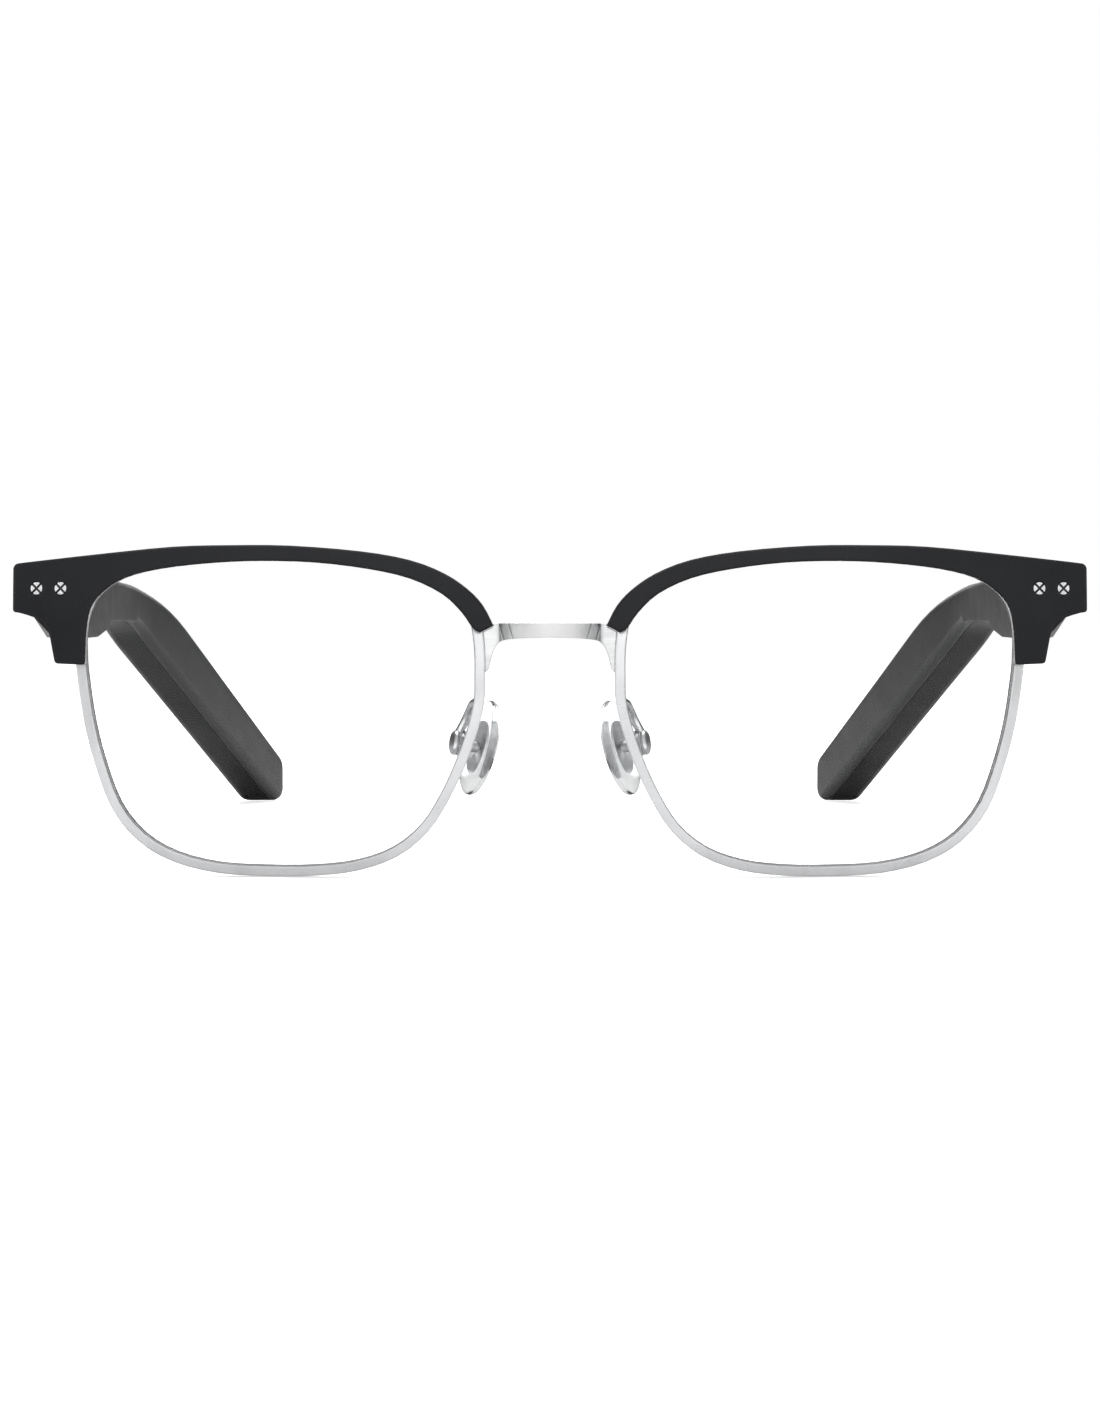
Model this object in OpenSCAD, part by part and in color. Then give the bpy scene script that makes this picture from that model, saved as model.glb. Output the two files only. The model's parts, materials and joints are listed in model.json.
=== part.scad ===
// Browline audio glasses: black brow caps on wire rims, a metal bridge, and
// folding temples that hold a board, a speaker, a microphone and a battery.
// +Z is up, the front faces -Y, and X = 0 is the mirror plane. The wearer's left is +X.
// The origin is under the middle of the open glasses, on the surface they stand on.
// Everything is drawn for the wearer's left and mirrored for the right.

/* [Front] */
// Radius of the sphere that each half of the front follows
face_r = 150; // [130:5:180]
// Thickness of the brow caps, front to back
brow_t = 4.6; // [4.4:0.1:5.2]
// Width of the rim wire, seen from the front
rim_w = 1.4; // [1.2:0.05:1.45]
// Depth of the rim wire, front to back
rim_depth = 2.6; // [2.4:0.1:2.8]
// Thickness of the lenses
lens_t = 1.6; // [1.2:0.1:1.8]
// Thickness of the bridge bar
bridge_t = 1.8; // [1.4:0.1:2.2]

/* [Hinges] */
// Distance of each hinge axis from the middle
hinge_x = 64.6; // [64.3:0.1:65]
// Outer radius of the hinge barrel
barrel_r = 1.6; // [1.4:0.05:1.65]
// Radius of the hinge screw
hinge_screw_r = 0.7; // [0.5:0.05:0.8]
// Radial play of the rear knuckle on the screw
hinge_play = 0.04; // [0.02:0.01:0.08]

/* [Temples] */
// Overall depth, from the brow to the temple tips
depth = 151.6; // [150:0.1:152]
// Thickness of a temple, across
temple_t = 7.2; // [7:0.1:7.6]
// Angle by which the open temples spread
splay = 3; // [2:0.5:4]
// Angle by which the ear end turns inwards
ear_turn = 20; // [18:0.2:22]
// Wall of the temple shell
wall = 1.3; // [1.1:0.05:1.4]
// Thickness of the inner cover
cover_t = 1.6; // [1.5:0.1:1.8]

/* [Nose pads] */
// Height of a nose pad
pad_h = 13.2; // [12:0.2:14]
// Width of a nose pad
pad_w = 7.2; // [6.6:0.2:8]
// Thickness of a nose pad
pad_t = 2; // [1.8:0.1:2.4]

/* [Hidden] */
SIDE_PARTS = [
    "brow_cap", "eyewire", "lens", "pad_arm", "nose_pad", "pad_core", "brow_rivets",
    "hinge_front_leaf", "hinge_screw", "temple_shell", "temple_cover", "hinge_rear_leaf",
    "leaf_screws", "main_board", "touch_strip", "microphone", "charge_contacts",
    "charge_magnet", "speaker", "speaker_grille", "battery", "battery_flex"
];
SIDES = ["left", "right"];

$fn = 96;
gap = 0.05;             // between pieces that touch on one body
far = 40;               // longer than any cut needs to be
black = "#232427";
grey_black = "#2c2d30";
silver = "#c9cacc";
steel = "#a9abae";
gold = "#c9a24a";

// ---- Curves ----
function unit(v) = v / norm(v);
function spline_point(a, b, c, d, t) =
    0.5 * (2 * b + (c - a) * t + (2 * a - 5 * b + 4 * c - d) * t * t
           + (3 * b - a - 3 * c + d) * t * t * t);
function curve(p, n = 3) = let (last = len(p) - 1) concat(
    [for (i = [0:last - 1], k = [0:n - 1])
        spline_point(p[max(i - 1, 0)], p[i], p[i + 1], p[min(i + 2, last)], k / n)],
    [p[last]]
);
function loop(p, n = 3) = let (m = len(p))
    [for (i = [0:m - 1], k = [0:n - 1])
        spline_point(p[(i + m - 1) % m], p[i], p[(i + 1) % m], p[(i + 2) % m], k / n)];
// A corner at b between a and c, rounded with radius r
function corner(a, b, c, r, n) =
    let (u = unit(a - b), v = unit(c - b), half = acos(u * v) / 2,
         centre = b + unit(u + v) * r / sin(half),
         start = b + u * r / tan(half) - centre, end = b + v * r / tan(half) - centre,
         from = atan2(start.y, start.x), turn = atan2(end.y, end.x) - from,
         sweep = turn > 180 ? turn - 360 : turn < -180 ? turn + 360 : turn)
    [for (k = [0:n]) centre + r * [cos(from + sweep * k / n), sin(from + sweep * k / n)]];
// A closed outline of [x, y, corner radius]
function rounded(p, n = 6) = let (m = len(p), at = function (i) [p[i % m].x, p[i % m].y])
    [for (i = [0:m - 1]) each p[i][2] > 0
        ? corner(at(i + m - 1), at(i), at(i + 1), p[i][2], n) : [at(i)]];

// ---- The front's curved surface ----
face_x = 22;            // the sphere's centre, across and up
face_z = 22;
brow_reach = 1.17;      // the brow's front lies this far behind the sphere's nearest point
centre_y = -depth / 2 - brow_reach + face_r;
function face_y(x, z) = centre_y - sqrt(face_r * face_r - pow(x - face_x, 2) - pow(z - face_z, 2));
function back(d) = d - depth / 2;   // distance behind the brow's front, as Y

rim_front = 1.4;
rim_back = rim_front + rim_depth;
lens_front = rim_front + (rim_depth - lens_t) / 2;
groove = 0.5;           // the lens sits this far into the rim
block_x = 62.6;         // the end block begins here
block_back = 12;        // and its back lies this far behind the brow's front
brow_skin = 1.3;        // brow in front of the rim

rim_points = [
    [10, 26.2], [10.06, 30.6], [10.9, 34.7], [13.6, 37.6], [18, 39.65], [24, 41], [31, 41.8],
    [38.3, 42], [45.5, 41.8], [52, 40.95], [57, 39.65], [60.3, 37.45], [62, 33.8], [62.15, 29.5],
    [61.75, 25.5], [60.9, 20.2], [59.6, 15.2], [57.5, 9.6], [54.2, 5.55], [49.8, 3.05],
    [44, 1.7], [37.5, 1.4], [31, 1.5], [25.6, 2.2], [20.9, 3.9], [17.2, 6.9], [14.6, 10.9],
    [12.5, 15.4], [10.9, 19.9], [10.1, 23.4]
];
brow_top = [
    [7.5, 33.25], [8.9, 35.95], [10.9, 38.1], [14, 40.2], [18.5, 41.95], [25, 43.1],
    [34.3, 43.85], [42.3, 43.93], [50, 43.75], [60, 42.83], [70, 41.8]
];
brow_notch = [[71.2, 34.95], [69.6, 34.5], [68, 33.8], [67.1, 32.4], [66.6, 30.2]];
brow_under = [
    [61.95, 29.6], [61.8, 32.6], [61.2, 35.6], [59.6, 37.7], [56.6, 39.6], [51.8, 40.8],
    [45, 41.55], [38.3, 41.82], [31, 41.6], [24, 40.75], [18.5, 39.5], [14.2, 37.45],
    [11.6, 35], [10.2, 33], [9.2, 32.4]
];
brow_outline = concat(
    curve(brow_top), corner([70, 41.8], [72.2, 41.55], [72.45, 38.5], 0.8, 4),
    corner([72.45, 38.5], [72.2, 35.1], [71.2, 34.95], 0.4, 3), curve(brow_notch),
    corner([66.6, 30.2], [66.2, 28.2], [62, 28.05], 0.5, 3),
    corner([66.2, 28.2], [62, 28.05], [61.95, 29.6], 0.4, 3), curve(brow_under)
);
bridge_outline = concat(
    [[0, 33.75], [7.6, 33.6], [11, 32.2], [11, 27]],
    curve([[8.5, 27.15], [8.1, 27.6], [7.6, 29.6], [6.8, 31], [5.6, 31.45], [3, 31.65], [0, 31.7]])
);

module front_extrude(reach = far) {
    translate([0, back(reach - 8), 0]) rotate([90, 0, 0]) linear_extrude(reach) children();
}
module ball(t) { translate([face_x, centre_y, face_z]) sphere(r = face_r - t, $fn = 256); }
// The layer of the front between depths a and b
module layer(a, b) {
    intersection() {
        front_extrude() children();
        difference() { ball(a); ball(b); }
    }
}
module behind(t) {
    intersection() { front_extrude() children(); ball(t); }
}
module rim_shape(grow = 0) { offset(delta = grow) polygon(loop(rim_points)); }
module slab(d0, d1, x0, x1, z0, z1) {
    translate([x0, back(d0), z0]) cube([x1 - x0, d1 - d0, z1 - z0]);
}
module along_y(x, z, r, d0, d1) {
    translate([x, back(d0), z]) rotate([-90, 0, 0]) cylinder(r = r, h = d1 - d0);
}

// ---- Rim, lens and bridge ----
lock_z = 31.8;
lock_h = 3;
lock_x = [62.7, 65.5];
lock_d = [7.2, 10.4];
lock_screw_r = 0.5;
lock_axis = [64.5, 8.9];

module eyewire() {
    color(silver) difference() {
        union() {
            difference() {
                layer(rim_front, rim_back) rim_shape(rim_w);
                behind(rim_front - 1) rim_shape();
                layer(lens_front - gap, lens_front + lens_t + gap) rim_shape(groove + gap);
            }
            difference() {
                slab(lock_d[0], lock_d[1], lock_x[0], lock_x[1], lock_z - lock_h / 2, lock_z + lock_h / 2);
                behind(rim_front - 1) rim_shape(rim_w / 2);
            }
        }
        slab(4, 12, 60, 67, lock_z - 0.06, lock_z + 0.06);
        translate([lock_axis[0], back(lock_axis[1]), lock_z - lock_h]) cylinder(r = lock_screw_r, h = 2 * lock_h);
    }
}
module lock_screw() {
    translate([lock_axis[0], back(lock_axis[1]), 0]) difference() {
        union() {
            translate([0, 0, lock_z - lock_h / 2]) cylinder(r = lock_screw_r, h = lock_h);
            translate([0, 0, lock_z - lock_h / 2 - 0.6]) cylinder(r = 0.85, h = 0.6);
        }
        translate([-1, -0.12, lock_z - lock_h / 2 - 0.7]) cube([2, 0.24, 0.4]);
    }
}
module lens() { color("#e8f0f2", 0.3) layer(lens_front, lens_front + lens_t) rim_shape(groove); }

bridge_front = 0.2;
bridge_bow = 18;        // the bar bows forwards on this radius
saddle_x = 6.7;
facet_x = [5.2, 6.45];  // the slanted facet near each end of the bar, at half its height
facet_slant = 0.3;      // and how far it leans outwards per millimetre up
module facet_cut(x0, x1, deep) {
    lean = facet_slant * 4;
    difference() {
        translate([0, back(4), 32.6]) rotate([90, 0, 0]) linear_extrude(8)
            polygon([[x0 - lean, -4], [x1 - lean, -4], [x1 + lean, 4], [x0 + lean, 4]]);
        translate([0, back(bridge_front + bridge_bow), 20]) cylinder(r = bridge_bow - deep, h = 20, $fn = 180);
    }
}
module bridge_half() {
    module outline(x0, x1) {
        intersection() {
            difference() {
                polygon(bridge_outline);
                rim_shape(rim_w + gap);
                offset(delta = gap) polygon(brow_outline);
            }
            translate([x0, 20]) square([x1 - x0, 20]);
        }
    }
    difference() {
        intersection() {
            front_extrude() outline(-0.01, saddle_x + 0.4);
            translate([0, back(bridge_front + bridge_bow), 20]) difference() {
                cylinder(r = bridge_bow, h = 20, $fn = 180);
                translate([0, 0, -1]) cylinder(r = bridge_bow - bridge_t, h = 22, $fn = 180);
            }
        }
        facet_cut(facet_x[0], facet_x[1], 0.1);
        for (x = facet_x) facet_cut(x - 0.08, x + 0.08, 0.26);
    }
    layer(rim_front - 0.1, rim_back - 0.8) outline(saddle_x, 12);
}
module bridge() { color(steel) { bridge_half(); mirror([1, 0, 0]) bridge_half(); } }

// ---- Brow cap, rivets and front hinge leaf ----
rivet_x = [65.46, 68.87];
rivet_z = 38.25;
rivet_head_r = 0.83;
rivet_r = 0.6;
leaf_t = 0.8;
leaf_x = [63.9, 70.8];
leaf_z = [35.5, 40.9];
knuckle_h = 1.7;
knuckle_gap = 0.15;
hinge_d = 13.9;         // the hinge axis lies this far behind the brow's front
screw_head_r = 1.15;
screw_head_h = 0.5;

module brow_cap() {
    color(black) difference() {
        union() {
            layer(0, brow_t) polygon(brow_outline);
            intersection() {
                behind(0) polygon(brow_outline);
                slab(0, block_back, block_x, 80, 20, 50);
            }
        }
        behind(brow_skin) rim_shape(rim_w + gap);
        slab(block_back, 20, block_x, 80, 20, 50);
        slab(lock_d[0] - 0.3, 20, 62, lock_x[1] + 0.2, lock_z - lock_h / 2 - 0.8, lock_z + lock_h / 2 + 0.2);
        slab(block_back - leaf_t - gap, 20, 61, leaf_x[1] + gap, leaf_z[0] - gap, leaf_z[1] + gap);
        for (x = rivet_x) {
            along_y(x, rivet_z, rivet_head_r + 0.02, 0, rivet_seat(x));
            along_y(x, rivet_z, rivet_r + 0.02, 0, 20);
        }
    }
}
function rivet_seat(x) = face_y(x, rivet_z) + depth / 2 + 1.3;

module rivets() {
    color(silver) for (x = rivet_x) difference() {
        intersection() {
            union() {
                along_y(x, rivet_z, rivet_head_r, 2, rivet_seat(x) - 0.02);
                along_y(x, rivet_z, rivet_r, 2, block_back);
            }
            ball(-0.12);
        }
        difference() {
            translate([x, back(2), rivet_z]) rotate([-90, 0, 0]) for (turn = [45, 135]) {
                rotate([0, 0, turn]) translate([-2, -0.14, 0]) cube([4, 0.28, 12]);
            }
            ball(0.1);
        }
    }
}
module front_leaf() {
    z0 = leaf_z[0];
    color(steel) difference() {
        union() {
            slab(block_back - leaf_t, block_back, leaf_x[0], leaf_x[1], z0, leaf_z[1]);
            for (z = [z0, z0 + 2 * (knuckle_h + knuckle_gap)]) {
                translate([hinge_x, back(hinge_d), z]) cylinder(r = barrel_r, h = knuckle_h);
                slab(block_back - leaf_t, hinge_d, hinge_x - 0.7, hinge_x + 1, z, z + knuckle_h);
            }
        }
        for (x = rivet_x) along_y(x, rivet_z, rivet_r + 0.02, 0, 20);
        translate([hinge_x, back(hinge_d), z0 - 1]) cylinder(r = hinge_screw_r + 0.01, h = 10);
        translate([hinge_x, back(hinge_d), leaf_z[1] - screw_head_h]) cylinder(r = screw_head_r + 0.03, h = 3);
    }
}
module hinge_screw() {
    color(silver) translate([hinge_x, back(hinge_d), 0]) difference() {
        union() {
            translate([0, 0, leaf_z[0]]) cylinder(r = hinge_screw_r, h = leaf_z[1] - leaf_z[0]);
            translate([0, 0, leaf_z[1] - screw_head_h]) cylinder(r = screw_head_r, h = screw_head_h);
        }
        translate([-2, -0.14, leaf_z[1] - 0.25]) cube([4, 0.28, 1]);
    }
}

// ---- Nose pads and their arms ----
pad_at = [9.5, 10.4, 16.7];
pad_lean = -15;         // the pads spread towards the bottom
pad_swing = -34;        // and towards the back
box_x = [2.6, 4.7];     // the arm's box, along the pad's stem
box_r = 1.75;
stem_r = 0.8;
core_t = 0.5;
arm_r = 0.5;
arm_points = [
    [9.6, 3.1, 23.3], [10.3, 5, 22.9], [11.2, 6.8, 21.7], [12, 8, 20.2], [12.5, 8.5, 18.9], [12.55, 8.45, 18.3]
];

module at_pad() {
    translate([pad_at.x, back(pad_at.y), pad_at.z]) rotate([0, pad_lean, 0]) rotate([0, 0, pad_swing]) children();
}
module pad_plate(w, h, t) {
    translate([-t / 2, 0, 0]) rotate([90, 0, 90]) linear_extrude(t) polygon([
        for (a = [0:15:345]) [w / 2 * sign(cos(a)) * pow(abs(cos(a)), 0.85), h / 2 * sin(a)]
    ]);
}
module stem(r, x0, x1) { translate([x0, 0, 0]) rotate([0, 90, 0]) cylinder(r = r, h = x1 - x0); }
module pad_core() {
    color(steel) at_pad() difference() {
        union() {
            pad_plate(pad_w * 0.5, pad_h * 0.56, core_t);
            stem(stem_r, 0, box_x[1] - 0.4);
        }
        pad_cross_bore();
    }
}
module nose_pad() {
    color("#eef3f3", 0.5) at_pad() difference() {
        pad_plate(pad_w, pad_h, pad_t);
        pad_plate(pad_w * 0.5 + 2 * gap, pad_h * 0.56 + 2 * gap, core_t + 2 * gap);
        stem(stem_r + gap, 0, 5);
    }
}
pad_screw_x = 3.5;
pad_screw_r = 0.4;
module pad_cross_bore() {
    translate([pad_screw_x, -3, 0]) rotate([-90, 0, 0]) cylinder(r = pad_screw_r + 0.02, h = 6);
}
module pad_screw() {
    at_pad() translate([pad_screw_x, 0, 0]) rotate([-90, 0, 0]) {
        translate([0, 0, -box_r]) cylinder(r = pad_screw_r, h = 2 * box_r);
        difference() {
            translate([0, 0, -box_r - 0.45]) cylinder(r = 0.75, h = 0.45);
            translate([-1, -0.1, -box_r - 0.6]) cube([2, 0.2, 0.35]);
        }
    }
}
// A round wire through the points, as rings square to its run
module wire(p, r, sides = 10) {
    last = len(p) - 1;
    ring = function (i) let (t = unit(p[min(i + 1, last)] - p[max(i - 1, 0)]),
        u = unit(cross(t, [1, 0, 0])), v = cross(t, u))
        [for (k = [0:sides - 1]) p[i] + r * (u * cos(360 * k / sides) + v * sin(360 * k / sides))];
    polyhedron(
        points = [for (i = [0:last]) each ring(i)],
        faces = concat(
            [[for (k = [0:sides - 1]) k]], [[for (k = [sides - 1:-1:0]) last * sides + k]],
            [for (i = [0:last - 1], k = [0:sides - 1]) let (a = i * sides, n = (k + 1) % sides)
                [a + k, a + sides + k, a + sides + n, a + n]]
        )
    );
}
module pad_arm() {
    color(silver) difference() {
        union() {
            wire([for (p = curve(arm_points, 3)) [p.x, back(p.y), p.z]], arm_r);
            at_pad() stem(box_r, box_x[0], box_x[1]);
        }
        at_pad() stem(stem_r + 0.03, 0, box_x[1] - 0.3);
        at_pad() pad_cross_bore();
        at_pad() translate([pad_screw_x, -box_r - 1, 0]) rotate([-90, 0, 0]) cylinder(r = 0.8, h = 1.03);
        layer(-1, rim_back + gap) rim_shape(rim_w + 1);
    }
}

// ---- Temples, in a frame whose origin is the hinge axis and whose +Y runs along the temple ----
face_off = -0.5;        // the temple's inner face, from the hinge axis
turn_r = 50;            // radius of the ear turn on the inner face
turn_at = 67;           // and where it begins
front_cut = 12.35;      // the temple begins this far behind the brow's front
side_points = [
    [-4, 41.1, 0], [84.6, 39.25, 50], [136.4, 7.4, 3], [136.4, -1.66, 2.2], [76.7, 33.6, 22],
    [41.5, 33.6, 3], [35, 32.3, 9], [23, 31.4, 12], [8.5, 31.4, 2.4], [6.4, 34.9, 2], [-4, 34.9, 0]
];
barrel_play = 0.3;

module on_temple() {
    translate([hinge_x, back(hinge_d), 0]) rotate([0, 0, -splay]) children();
}
// A point of the plan, s along the temple and off outwards from its inner face
function plan_point(s, off) =
    let (turn = min(max(s - turn_at, 0) / turn_r * 180 / PI, ear_turn),
         arc = turn * PI / 180 * turn_r, rest = max(s - turn_at - arc, 0))
    s <= turn_at ? [face_off + off, s]
    : [face_off - turn_r + (turn_r + off) * cos(turn) - rest * sin(turn),
       turn_at + (turn_r + off) * sin(turn) + rest * cos(turn)];
// The strip of the plan between off = a and off = b
function strip(a, b, from, to) = let (
    stops = concat([from], [for (k = [0:10]) turn_at + turn_r * ear_turn * PI / 180 * k / 10], [to]),
    used = [for (s = stops) if (s >= from && s <= to) s])
    concat([for (s = used) plan_point(s, a)], [for (i = [len(used) - 1:-1:0]) plan_point(used[i], b)]);
function front_end(off) = (front_cut - hinge_d) / cos(splay) + (face_off + off) * tan(splay);

module side_shape(inset = 0) { offset(delta = -inset) polygon(rounded(side_points, 8)); }
// The temple's side outline, cut to the strip of its thickness between a and b
module temple_slice(a, b, from = -8, to = 160, inset = 0) {
    intersection() {
        translate([-60, 0, 0]) rotate([90, 0, 90]) linear_extrude(80) side_shape(inset);
        translate([0, 0, -10]) linear_extrude(60) polygon(strip(a, b, from, to));
    }
}
module front_clearance() {
    rotate([0, 0, splay]) translate([-20, front_cut - hinge_d - 20, 20]) cube([40, 20, 30]);
    translate([0, 0, leaf_z[0] - 0.4]) {
        cylinder(r = barrel_r + barrel_play, h = 10);
        translate([-5, -10, 0]) cube([5 + barrel_r + barrel_play, 10, 10]);
        translate([-5, -1, 0]) cube([5, 1.5 + barrel_r, 10]);
    }
}
pocket_in = cover_t;
pocket_out = temple_t - wall;
contact_s = [12, 18];
contact_x = 2.8;
belly_z = 31.4;
mic_at = [3, 29];
grille_s = [47, 61];
grille_x = [1.7, 4.5];
leaf_reach = [2.1, 12.5];
leaf_plate_z = [36.3, 40];
leaf_screw_s = [5.2, 10];

// The outer lower corner is cut away in front, where it would stand out beside the brow's leg
corner_at = [5.5, 16, 31.2];
corner_normal = unit([35, -7, -34]);
module belly_corner(inset = 0) {
    translate(corner_at - corner_normal * inset)
        rotate([0, acos(corner_normal.z), atan2(corner_normal.y, corner_normal.x)])
        translate([-far, -far, 0]) cube([2 * far, 2 * far, far]);
}
module temple_shell() {
    color(black) on_temple() difference() {
        temple_slice(cover_t, temple_t);
        difference() {
            temple_slice(cover_t - 1, pocket_out, from = 4.5, inset = wall);
            belly_corner(wall - 0.1);
        }
        belly_corner();
        front_clearance();
        for (s = contact_s) translate([contact_x, s, 30]) cylinder(r = 0.92, h = 4);
        translate([mic_at.x, mic_at.y, 30]) cylinder(r = 0.4, h = 4, $fn = 24);
        translate([grille_x[0], grille_s[0], 33]) cube([grille_x[1] - grille_x[0], grille_s[1] - grille_s[0], 2.2]);
    }
}
module temple_cover() {
    color(grey_black) on_temple() difference() {
        temple_slice(0, cover_t - 0.02);
        front_clearance();
        translate([-3, 0, leaf_plate_z[0] - gap])
            cube([3 + face_off + 0.8 + gap, leaf_reach[1] + gap, leaf_plate_z[1] - leaf_plate_z[0] + 2 * gap]);
        for (s = leaf_screw_s) leaf_screw_bore(s, 0.4);
    }
}
module leaf_screw_bore(s, r) {
    translate([-2, s, (leaf_plate_z[0] + leaf_plate_z[1]) / 2]) rotate([0, 90, 0]) cylinder(r = r + 0.02, h = 5);
}
module rear_leaf() {
    z0 = leaf_z[0] + knuckle_h + knuckle_gap;
    color(steel) on_temple() difference() {
        union() {
            translate([0, 0, z0]) cylinder(r = barrel_r, h = knuckle_h);
            translate([face_off, 0, z0]) cube([0.8, leaf_reach[0] + 0.5, knuckle_h]);
            translate([face_off, leaf_reach[0], leaf_plate_z[0]])
                cube([0.8, leaf_reach[1] - leaf_reach[0], leaf_plate_z[1] - leaf_plate_z[0]]);
        }
        translate([0, 0, z0 - 1]) cylinder(r = hinge_screw_r + hinge_play, h = 10);
        for (s = leaf_screw_s) leaf_screw_bore(s, 0.4);
    }
}
module leaf_screws() {
    color(silver) on_temple() for (s = leaf_screw_s) {
        translate([face_off - 0.35, s, (leaf_plate_z[0] + leaf_plate_z[1]) / 2]) rotate([0, 90, 0]) {
            difference() {
                cylinder(r = 0.8, h = 0.35);
                translate([-1, -0.1, -0.1]) cube([2, 0.2, 0.28]);
            }
            cylinder(r = 0.4, h = 1.9);
        }
    }
}

// ---- What the temples hold ----
module main_board() {
    color("#1f6b3a") on_temple() {
        translate([3, 9, 34.7]) cube([0.8, 27, 4]);
        translate([3.8, 12, 35.2]) cube([1, 6, 3.4]);
        translate([3.8, 21, 35.6]) cube([0.8, 4, 2.6]);
        translate([1.9, 27, 35.4]) cube([1.1, 5, 3]);
    }
}
module touch_strip() {
    color("#b9772e") on_temple() translate([face_off + pocket_out - 0.4, 9, 34.9]) cube([0.3, 30, 3.6]);
}
module microphone() {
    color(silver) on_temple() translate([mic_at.x - 1.4, mic_at.y - 1.8, belly_z + 2]) cube([2.8, 3.6, 1.1]);
}
module charge_contacts() {
    color(gold) on_temple() for (s = contact_s) translate([contact_x, s, belly_z]) {
        cylinder(r = 0.9, h = wall);
        translate([0, 0, wall]) cylinder(r = 1.2, h = 0.5);
    }
}
module charge_magnet() {
    color(steel) on_temple() translate([contact_x - 1.4, (contact_s[0] + contact_s[1]) / 2 - 1.4, belly_z + wall + 0.05])
        cube([2.8, 2.8, 1.6]);
}
module speaker() {
    color("#3a3b3e") on_temple() difference() {
        translate([1.65, 46, 35.1]) cube([3.55, 16, 3]);
        translate([1.9, 47.5, 34]) cube([2.6, 13, 1.6]);
    }
}
module speaker_grille() {
    slot_w = 0.6;
    color(steel) on_temple() difference() {
        translate([grille_x[0] + gap, grille_s[0] + gap, 33.75])
            cube([grille_x[1] - grille_x[0] - 2 * gap, grille_s[1] - grille_s[0] - 2 * gap, 1]);
        for (s = [grille_s[0] + 1:1.3:grille_s[1] - 1]) {
            translate([grille_x[0] + 0.5, s, 33]) cube([grille_x[1] - grille_x[0] - 1, slot_w, 3]);
        }
    }
}
cell_r = 1.95;
cell_from = 96;
cell_to = 121;
function drop_mid(s) = 26 - 0.604 * (s - 98);
function in_temple(s, off) = let (p = plan_point(s, off)) [p.x, p.y, 0];
module battery() {
    off = (pocket_in + pocket_out) / 2;
    a = plan_point(cell_from, off);
    b = plan_point(cell_to, off);
    v = [b.x - a.x, b.y - a.y, drop_mid(b.y) - drop_mid(a.y)];
    color("#8fa3b5") on_temple() translate([a.x, a.y, drop_mid(a.y)])
        rotate([0, acos(v.z / norm(v)), atan2(v.y, v.x)]) cylinder(r = cell_r, h = norm(v));
}
module battery_flex() {
    flex_off = cover_t + 0.15;
    color("#c98a3a") on_temple() difference() {
        temple_slice(flex_off, flex_off + 0.25, from = 33, to = cell_from - 1.2, inset = 2.4);
        translate([-5, 33, 30]) cube([20, 10, 5.4]);
    }
}

module on_side(side) {
    if (side == "left") children(); else mirror([1, 0, 0]) children();
}
module pad_screws() { color(silver) for (side = SIDES) on_side(side) pad_screw(); }
module rim_lock_screws() { color(silver) for (side = SIDES) on_side(side) lock_screw(); }

bridge();
pad_screws();
rim_lock_screws();
for (side = SIDES) on_side(side) {
    brow_cap();
    eyewire();
    lens();
    pad_arm();
    nose_pad();
    pad_core();
    rivets();
    front_leaf();
    hinge_screw();
    temple_shell();
    temple_cover();
    rear_leaf();
    leaf_screws();
    main_board();
    touch_strip();
    microphone();
    charge_contacts();
    charge_magnet();
    speaker();
    speaker_grille();
    battery();
    battery_flex();
}
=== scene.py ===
import json
import math
import bmesh
import bpy
from mathutils import Matrix, Vector
from mathutils.bvhtree import BVHTree


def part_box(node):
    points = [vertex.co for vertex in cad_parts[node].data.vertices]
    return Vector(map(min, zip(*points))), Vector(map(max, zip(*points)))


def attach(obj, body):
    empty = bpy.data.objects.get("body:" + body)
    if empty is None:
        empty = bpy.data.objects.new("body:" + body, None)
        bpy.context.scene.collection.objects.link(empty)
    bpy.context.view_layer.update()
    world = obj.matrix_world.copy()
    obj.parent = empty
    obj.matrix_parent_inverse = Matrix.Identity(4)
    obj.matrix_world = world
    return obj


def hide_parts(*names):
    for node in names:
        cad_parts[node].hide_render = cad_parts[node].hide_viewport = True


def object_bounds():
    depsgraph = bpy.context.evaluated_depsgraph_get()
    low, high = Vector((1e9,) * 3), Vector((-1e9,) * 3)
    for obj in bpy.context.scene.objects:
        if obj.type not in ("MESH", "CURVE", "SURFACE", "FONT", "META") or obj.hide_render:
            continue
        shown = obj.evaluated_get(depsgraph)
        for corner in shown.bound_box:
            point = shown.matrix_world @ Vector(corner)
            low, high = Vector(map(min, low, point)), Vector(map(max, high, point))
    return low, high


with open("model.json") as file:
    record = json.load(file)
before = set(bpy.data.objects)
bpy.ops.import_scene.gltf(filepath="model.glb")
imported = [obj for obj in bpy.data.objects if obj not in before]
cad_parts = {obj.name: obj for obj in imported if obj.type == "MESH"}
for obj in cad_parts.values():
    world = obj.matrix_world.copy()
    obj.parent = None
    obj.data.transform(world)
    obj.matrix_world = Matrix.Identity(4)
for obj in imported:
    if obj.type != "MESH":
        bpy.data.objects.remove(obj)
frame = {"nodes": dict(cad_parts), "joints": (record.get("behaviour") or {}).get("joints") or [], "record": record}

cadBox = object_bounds()
mm = 0.001
nodes = frame["nodes"]
bodies = frame["record"]["behaviour"]["bodies"]
bodyOf = {node: body for body, members in bodies.items() for node in members}
sides = {"left": 1, "right": -1}
browFront = cadBox[0][1]


def depthBack(d):
    return browFront + d * mm


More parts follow.
